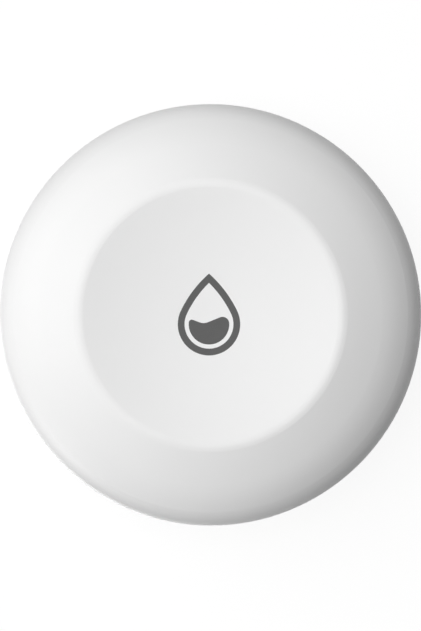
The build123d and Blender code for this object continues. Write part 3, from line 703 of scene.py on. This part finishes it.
def raised(name, outlines, proud, place, turn, body, finish):
    """A flat sign with softened edges, half sunk in an underside; outlines inside others are holes."""
    edge = proud / 3
    curve = bpy.data.curves.new(name, "CURVE")
    curve.dimensions = "2D"
    curve.fill_mode = "BOTH"
    curve.extrude = proud - edge
    curve.bevel_depth = edge
    curve.bevel_resolution = 2
    curve.offset = -edge
    for outline in outlines:
        line = curve.splines.new("POLY")
        line.points.add(len(outline) - 1)
        for point, (x, y) in zip(line.points, outline):
            point.co = (x, y, 0, 1)
        line.use_cyclic_u = True
    maker = bpy.data.objects.new(name, curve)
    mesh = bpy.data.meshes.new_from_object(maker)
    bpy.data.objects.remove(maker)
    joined = bmesh.new()
    joined.from_mesh(mesh)
    bmesh.ops.remove_doubles(joined, verts=joined.verts, dist=micron)
    bmesh.ops.recalc_face_normals(joined, faces=joined.faces)
    joined.to_mesh(mesh)
    joined.free()
    mesh.transform(Matrix.Translation(place) @ Matrix.Rotation(math.radians(turn), 4, "Z"))
    mesh.name = name
    return shown_piece(name, mesh, body, finish)


def shown_piece(name, mesh, body, finish):
    """A piece that goes with a body, or with none yet where its mesh bends between two."""
    piece = bpy.data.objects.new(name, mesh)
    bpy.context.scene.collection.objects.link(piece)
    mesh.materials.clear()
    mesh.materials.append(finish)
    if body is not None:
        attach(piece, body)
    return piece


lock_width = 2.5 * mm
lock_height = 1.8 * mm
lock_corner = 0.3 * mm
shackle_radius = 0.85 * mm
shackle_bar = 0.36 * mm
shackle_leg = 0.45 * mm
open_shackle_lift = 0.99 * mm
keyhole_radius = 0.3 * mm
keyhole_drop = 0.72 * mm
keyhole_length = 0.6 * mm
keyhole_half_gap = 60
slot_width_share = 0.8
arrow_half_width = 0.22 * mm
arrow_head_width = 0.6 * mm
arrow_head_length = 1.3 * mm


def lock_body(first, last):
    """The body of a padlock, anticlockwise from its top, between a first and a last place on that top."""
    side = lock_width / 2 - lock_corner
    corners = ((-side, -lock_corner, 90), (-side, lock_corner - lock_height, 180),
               (side, lock_corner - lock_height, 270), (side, -lock_corner, 0))
    points = [(first, 0)]
    for x, y, start in corners:
        points += arc_points((x, y), lock_corner, start, start + 90, 5)
    return points + [(last, 0)]


def keyhole():
    """A round hole with a narrow slot below it."""
    points = arc_points((0, -keyhole_drop), keyhole_radius, -keyhole_half_gap, 180 + keyhole_half_gap)
    side = points[0][0] * slot_width_share
    low = -keyhole_drop - keyhole_length
    return points + [(-side, low), (side, low)]


def closed_lock():
    """A padlock with its shackle shut: an outline, and two holes in it."""
    inner = shackle_radius - shackle_bar
    over = arc_points((0, shackle_leg), shackle_radius, 0, 180)
    outline = lock_body(-shackle_radius, shackle_radius) + over
    hole = [(-inner, 0), (inner, 0)] + arc_points((0, shackle_leg), inner, 0, 180)
    return [outline, hole, keyhole()]


def open_lock():
    """The same lock with its shackle pulled up and free at one end."""
    inner = shackle_radius - shackle_bar
    over = arc_points((0, open_shackle_lift), shackle_radius, 0, 180)
    back = arc_points((0, open_shackle_lift), inner, 180, 0)
    free = [(-shackle_radius, shackle_leg), (-inner, shackle_leg)]
    outline = lock_body(inner, shackle_radius) + over + free + back
    return [outline, keyhole()]


def turn_arrow(radius, start, end):
    """An arrow bent about the axis, from a start angle to an end angle that is the smaller one."""
    neck = end + math.degrees(arrow_head_length / radius)
    tip = arc_points(axis, radius, end, end, 1)[:1]
    outer_barb = arc_points(axis, radius + arrow_head_width, neck, neck, 1)[:1]
    inner_barb = arc_points(axis, radius - arrow_head_width, neck, neck, 1)[:1]
    outer_side = arc_points(axis, radius + arrow_half_width, neck, start)
    inner_side = arc_points(axis, radius - arrow_half_width, start, neck)
    return [tip + outer_barb + outer_side + inner_side + inner_barb]


plus_reach = 2.4 * mm
plus_half_width = 0.45 * mm
plus_proud = 0.03 * mm


def plus_sign():
    """The twelve corners of a plus."""
    reach = plus_reach
    half = plus_half_width
    points = []
    for count in range(4):
        turn = math.radians(90 * count)
        along = math.cos(turn)
        across = math.sin(turn)
        for x, y in ((reach, -half), (reach, half), (half, half)):
            points.append((x * along - y * across, x * across + y * along))
    return [points]


sign_distance = 18.9 * mm
arrow_distance = 21.2 * mm
closed_angle = 45
open_angle = 15
arrow_gap = 6
sign_proud = 0.2 * mm


def door_signs(finish):
    """Padlocks at the two marks of the door, and an arrow from the closed one to the open one."""
    for name, angle, outlines in (
        ("closed_sign", closed_angle, closed_lock()),
        ("open_sign", open_angle, open_lock()),
    ):
        turn = math.radians(angle)
        place = (sign_distance * math.cos(turn), sign_distance * math.sin(turn), base_under)
        raised(name, outlines, sign_proud, place, angle - 90, "housing", finish)
    arrow = turn_arrow(arrow_distance, closed_angle - arrow_gap, open_angle + arrow_gap)
    raised("turn_sign", arrow, sign_proud, (0, 0, base_under), 0, "housing", finish)


def cell_sign(finish):
    """The plus stamped on the can of the cell."""
    raised("plus_sign", plus_sign(), plus_proud, (0, 0, can_under), 0, "coin_cell", finish)


# Copper, solder and tracks on the board


def solids_of(name):
    """The lowest and highest corners of each separate solid of a node, from left to right."""
    mesh = bmesh.new()
    mesh.from_mesh(nodes[name].data)
    bmesh.ops.remove_doubles(mesh, verts=mesh.verts, dist=micron / 10)
    left = set(mesh.verts)
    found = []
    while left:
        reached = [left.pop()]
        whole = list(reached)
        while reached:
            near = {link.other_vert(vertex) for vertex in reached for link in vertex.link_edges} & left
            left -= near
            reached = list(near)
            whole += reached
        low = Vector([min(vertex.co[side] for vertex in whole) for side in range(3)])
        high = Vector([max(vertex.co[side] for vertex in whole) for side in range(3)])
        found.append((low, high))
    mesh.free()
    return sorted(found, key=lambda box: tuple(box[0]))


def middles_of(*names):
    """The middle of each separate solid of some nodes."""
    return [(low + high) / 2 for name in names for low, high in solids_of(name)]


def prism(mesh, loop, shift):
    """A solid between a flat outline and the same outline moved by a shift."""
    near = [mesh.verts.new(point) for point in loop]
    far = [mesh.verts.new(Vector(point) + Vector(shift)) for point in loop]
    mesh.faces.new(near)
    mesh.faces.new(far[::-1])
    for index in range(len(loop)):
        mesh.faces.new((near[index - 1], near[index], far[index], far[index - 1]))


def turned_solid(mesh, outline, centre=axis, count=48):
    """A solid from radii and heights that go once round, or from an upright line back to that line."""
    rims = []
    for radius, height in outline:
        circle = arc_points(centre, radius, 0, 360, count)[:-1]
        rims.append([mesh.verts.new((x, y, height)) for x, y in circle])
    pairs = list(zip(rims, rims[1:]))
    if outline[0][0] > 0:
        pairs.append((rims[-1], rims[0]))
    for first, second in pairs:
        for index in range(count):
            mesh.faces.new((first[index - 1], first[index], second[index], second[index - 1]))
    bmesh.ops.remove_doubles(mesh, verts=mesh.verts, dist=micron / 10)


def eyelet(mesh, centre, inner, outer, count=24):
    """A flat copper ring on the board, with a bevelled rim."""
    low = board_over - copper_sink
    high = board_over + pad_height
    middle = (low + high) / 2
    rim = [(inner, low), (outer, low), (outer, middle), (outer * bevel_share, high), (inner, high)]
    turned_solid(mesh, rim, centre, count)


def finished(name, mesh, body, finish):
    """A shown piece from a mesh that is being made."""
    bmesh.ops.recalc_face_normals(mesh, faces=mesh.faces)
    data = bpy.data.meshes.new(name)
    mesh.to_mesh(data)
    mesh.free()
    return shown_piece(name, data, body, finish)


bevel_share = 0.96
track_width = 0.15 * mm
track_height = 0.03 * mm
track_pitch = 0.5 * mm
track_run = 0.9 * mm
track_step = 0.6 * mm
track_slant = 0.28 * mm
via_outer = 0.2 * mm
via_inner = 0.09 * mm
pad_height = 0.04 * mm
copper_sink = 0.01 * mm
hole_pad_inner = 1.2 * mm
hole_pad_outer = 2.65 * mm
test_pads = 6
test_pad_radius = 0.5 * mm
test_pad_centre = 0.02 * mm
first_test_pad = (5.2 * mm, -11.6 * mm)
test_pad_step = (1.4 * mm, 0.35 * mm)


def track(mesh, points):
    """A raised track along straight runs, with round ends and mitred bends."""
    half = track_width / 2
    runs = [(end - start).normalized() for start, end in zip(points, points[1:])]
    sides = [Vector((-run.y, run.x)) for run in runs]
    mitres = [(before + after) / (1 + before.dot(after)) * half for before, after in zip(sides, sides[1:])]
    left = [point + mitre for point, mitre in zip(points[1:], mitres)]
    right = [point - mitre for point, mitre in zip(points[1:], mitres)]
    first, last = [math.degrees(math.atan2(run.y, run.x)) for run in (runs[0], runs[-1])]
    outline = arc_points(points[-1], half, last - 90, last + 90, 6) + left[::-1]
    outline += arc_points(points[0], half, first + 90, first + 270, 6) + right
    prism(mesh, [(x, y, board_over - copper_sink) for x, y in outline], (0, 0, track_height + copper_sink))


def routes():
    """A straight run out of each terminal and a bend at 45 degrees, as long as its place in the row asks."""
    middles = middles_of("radio_chip", "sense_chip", "chip_capacitors", "chip_resistors")
    found = []
    for low, high in solids_of("component_terminals"):
        start = (low + high) / 2
        owner = min(middles, key=lambda middle: (middle - start).length)
        away = (start - owner).xy
        out = Vector((math.copysign(1, away.x), 0))
        if abs(away.y) > abs(away.x):
            out = Vector((0, math.copysign(1, away.y)))
        side = Vector((out.y, out.x))
        row = round(start.xy.dot(side) / track_pitch)
        bend = start.xy + out * (track_run + track_step * (row % 3))
        found.append([start.xy, bend, bend + (out + side) * track_slant])
    return found


def board_tracks(finishes):
    """Tracks, each with a via at its end."""
    tracks = bmesh.new()
    vias = bmesh.new()
    for points in routes():
        track(tracks, points)
        eyelet(vias, points[-1], via_inner, via_outer)
    finished("board_tracks", tracks, "housing", masked_copper())
    finished("board_vias", vias, "housing", finishes["solder_tin"])


def board_pads(finish):
    """Rings round the four big holes, and a row of test pads."""
    pads = bmesh.new()
    for centre in arc_points(axis, hole_circle, 0, 360, 4)[:-1]:
        eyelet(pads, centre, hole_pad_inner, hole_pad_outer, 48)
    for step in range(test_pads):
        centre = [first + step * shift for first, shift in zip(first_test_pad, test_pad_step)]
        eyelet(pads, centre, test_pad_centre, test_pad_radius)
    finished("board_pads", pads, "housing", finish)


solder_shares = ((0, 0), (1, 0), (0.55, 0.14), (0.25, 0.4), (0.08, 0.75), (0, 1))
solder_reach = 0.34 * mm
solder_rise_share = 0.85
end_reach = 0.8 * mm


def solder_joints(finish):
    """A hollow fillet of solder up the outer end of each small part."""
    mesh = bmesh.new()
    bodies = middles_of("chip_capacitors", "chip_resistors")
    for low, high in solids_of("component_terminals"):
        middle = (low + high) / 2
        owner = min(bodies, key=lambda body: (body.xy - middle.xy).length)
        if (owner.xy - middle.xy).length > end_reach:
            continue
        out = math.copysign(1, middle.x - owner.x)
        face = high.x if out > 0 else low.x
        rise = (high.z - board_over) * solder_rise_share
        loop = []
        for along, up in solder_shares:
            loop.append((face + out * along * solder_reach, low.y, board_over + up * rise))
        prism(mesh, loop, (0, high.y - low.y, 0))
    finished("solder_joints", mesh, "housing", finish)


# Soft pieces that give way under a press


membrane_rim = 1.75 * mm
membrane_rim_height = 0.6 * mm
membrane_edge = 0.08 * mm
web_sag = 0.3 * mm
web_fall = 0.95 * mm
web_thickness = 0.25 * mm
web_root = 0.15 * mm
web_steps = 12
nub_radius = 1.5 * mm
nub_edge = 0.25 * mm
dome_sheet = 0.08 * mm
dome_steps = 10
steep = math.radians(40)


def smoothed(name, outline, body, finish):
    """A turned piece that is shaded softly over its gentle bends."""
    mesh = bmesh.new()
    turned_solid(mesh, outline, count=96)
    piece = finished(name, mesh, body, finish)
    piece.data.shade_smooth()
    piece.data.set_sharp_from_angle(angle=steep)
    return piece


def membrane_web(finish):
    """The rim that lies in the roof, and the thin web that hangs from it and goes down with the nub."""
    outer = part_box("press_membrane")[1].x
    inner = outer - membrane_rim
    low = roof_over - membrane_rim_height
    edge = membrane_edge
    over = [(outer, low + edge), (outer, roof_over - edge), (outer - edge, roof_over),
            (inner + edge, roof_over), (inner, roof_over - edge)]
    under = [(outer - edge, low), (inner + edge, low)]
    for step in range(web_steps + 1):
        share = step / web_steps
        radius = inner + (nub_radius - web_root - inner) * share
        height = roof_over - web_sag - web_fall * share**2 * (3 - 2 * share)
        over.append((radius, height))
        under.append((radius, height - web_thickness))
    web = smoothed("membrane_web", over + under[::-1], None, finish)
    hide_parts("press_membrane")
    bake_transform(web)


def membrane_nub(finish):
    """The solid middle of the membrane, which goes down with the cap."""
    low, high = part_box("press_membrane")
    tip = nub_radius - nub_edge
    outline = [(0, low.z), (tip, low.z), (nub_radius, low.z + nub_edge), (nub_radius, high.z - nub_edge)]
    outline += [(tip + x, high.z - nub_edge + y) for x, y in arc_points(axis, nub_edge, 0, 90, 5)[1:]]
    nub = smoothed("membrane_nub", outline + [(0, high.z)], "cap", finish)
    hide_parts("press_membrane")


def snap_dome(finish):
    """The sprung disc under the plunger, which goes flatter as the plunger comes down."""
    low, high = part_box("switch_dome")
    over = []
    under = []
    for step in range(dome_steps + 1):
        share = step / dome_steps
        rise = (high.z - low.z - dome_sheet) * (1 - share**2)
        over.append((high.x * share, low.z + dome_sheet + rise))
        under.append((high.x * share, low.z + rise))
    piece = smoothed("snap_dome", over + under[::-1], "housing", finish)
    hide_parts("switch_dome")
    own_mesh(piece)


# Light, floor and camera


def looked_at(finish):
    """1 for rays from the camera, straight, by reflection or through clear plastic, and 0 for light."""
    kinds = ("Is Camera Ray", "Is Glossy Ray", "Is Transmission Ray")
    return functools.reduce(Link.most, [finish.node("ShaderNodeLightPath", output=kind) for kind in kinds])


def mixed(finish, first, second, share):
    """One shader where the share is 0, and another where it is 1."""
    return finish.node("ShaderNodeMixShader", values={0: share, 1: first, 2: second})


def added(finish, first, second):
    """The light of two shaders together."""
    return finish.node("ShaderNodeAddShader", values={0: first, 1: second})


floor_glow = 0.9
# Painted shadow under the sensor: its grey, and the share of the outer radius inside which it is darkest
painted_shadow_tone = 0.3
floor_shade = 0.12
floor_bounce = 0.75
floor_open = 0.5
painted_shadow_inner_share = 0.8
floor_glow_near = 80 * mm
floor_glow_far = 250 * mm
floor_reach = 2000 * mm


def floor_finish():
    """White floor with its shadow and a painted shadow that dims it under the sensor; light and the camera
    pass through it from below.
    """
    finish = Finish("floor")
    seen_by_camera = finish.node("ShaderNodeLightPath", output="Is Camera Ray")
    casts_shadow = finish.node("ShaderNodeLightPath", output="Is Shadow Ray")
    distance = finish.away(axis)
    open_glow = finish.mix(colour(floor_glow), colour(1), distance.step(floor_glow_near, floor_glow_far))
    # Painted shadow: to the camera the floor's glow fades to a dark grey under the sensor, from its widest
    # radius inwards
    painted_shadow = distance.step(outer_radius, outer_radius * painted_shadow_inner_share) * seen_by_camera
    glow_with_painted_shadow = finish.mix(open_glow, colour(painted_shadow_tone), painted_shadow)
    glow = finish.node("ShaderNodeEmission", values={"Color": glow_with_painted_shadow})
    shade = finish.node("ShaderNodeBsdfDiffuse", values={"Color": colour(floor_shade)})
    bounce = finish.node("ShaderNodeBsdfDiffuse", values={"Color": colour(floor_bounce)})
    clear = finish.node("ShaderNodeBsdfTransparent")
    under = finish.node("ShaderNodeNewGeometry", output="Backfacing")
    lit = mixed(finish, bounce, clear, floor_open)
    seen = mixed(finish, lit, added(finish, glow, shade), looked_at(finish))
    return finish.shown(mixed(finish, seen, clear, under.most(casts_shadow)))


def floor():
    """One large flat face under the sensor."""
    mesh = bpy.data.meshes.new("floor")
    corners = [(-floor_reach, -floor_reach, 0), (floor_reach, -floor_reach, 0),
               (floor_reach, floor_reach, 0), (-floor_reach, floor_reach, 0)]
    mesh.from_pydata(corners, [], [(0, 1, 2, 3)])
    mesh.materials.append(floor_finish())
    plane = bpy.data.objects.new("floor", mesh)
    bpy.context.scene.collection.objects.link(plane)


world_fill = 0.02


def sky():
    """White to the camera and in reflections, and a plain grey fill for the rest."""
    finish = Finish("sky", bpy.data.worlds)
    bpy.context.scene.world = finish.owner
    fill = finish.node("ShaderNodeBackground", values={"Color": colour(world_fill)})
    white = finish.node("ShaderNodeBackground", values={"Color": colour(1)})
    surface = mixed(finish, fill, white, looked_at(finish))
    finish.node("ShaderNodeOutputWorld", values={"Surface": surface})


lamp_distance = 600 * mm

# Azimuth and elevation in degrees, width, and strength
lamps = {
    "key": (153, 54, 800 * mm, 1.03),
    "side": (222, 4, 300 * mm, 0.23),
    "overhead": (90, 88, 400 * mm, 0.25),
    "under": (222, -71, 300 * mm, 0.76),
}


def lamp(name, azimuth, elevation, width, strength):
    """A round soft lamp that shines at the object; a white wall that faces it comes out at its strength."""
    light = bpy.data.lights.new(name, "AREA")
    light.shape = "DISK"
    light.size = width
    light.energy = strength * math.pi**2 * lamp_distance**2
    around = math.radians(azimuth)
    up = math.radians(elevation)
    towards = Vector((math.cos(around) * math.cos(up), math.sin(around) * math.cos(up), math.sin(up)))
    holder = bpy.data.objects.new(name, light)
    holder.location = towards * lamp_distance
    holder.rotation_mode = "QUATERNION"
    holder.rotation_quaternion = towards.to_track_quat("Z", "Y")
    bpy.context.scene.collection.objects.link(holder)


photo_width = 421
photo_height = 631
photo_circle_middle = (210.5, 314.9)
photo_circle_radius = 210.8
lens_length = 400
sensor_height = 36


def camera():
    """Straight above the sensor, from far away, with the photograph's scale at the widest line."""
    scale = outer_radius / photo_circle_radius
    distance = photo_height * scale * lens_length / sensor_height
    shift_x = (photo_width / 2 - photo_circle_middle[0]) * scale
    shift_y = (photo_circle_middle[1] - photo_height / 2) * scale
    data = bpy.data.cameras.new("camera")
    data.lens = lens_length
    data.sensor_width = sensor_height
    holder = bpy.data.objects.new("camera", data)
    holder.location = (shift_x, shift_y, widest_height + distance)
    data.clip_start = distance / 100
    data.clip_end = distance * 10
    bpy.context.scene.collection.objects.link(holder)
    bpy.context.scene.camera = holder


finishes = give_finishes()
door_signs(finishes["base_plastic"])
cell_sign(finishes["cell_steel"])
board_tracks(finishes)
board_pads(finishes["trace_copper"])
solder_joints(finishes["solder_tin"])
membrane_web(finishes["silicone"])
membrane_nub(finishes["silicone"])
snap_dome(finishes["switch_metal"])
floor()
sky()
for lamp_name, values in lamps.items():
    lamp(lamp_name, *values)
camera()
bpy.context.scene.view_settings.view_transform = "Standard"
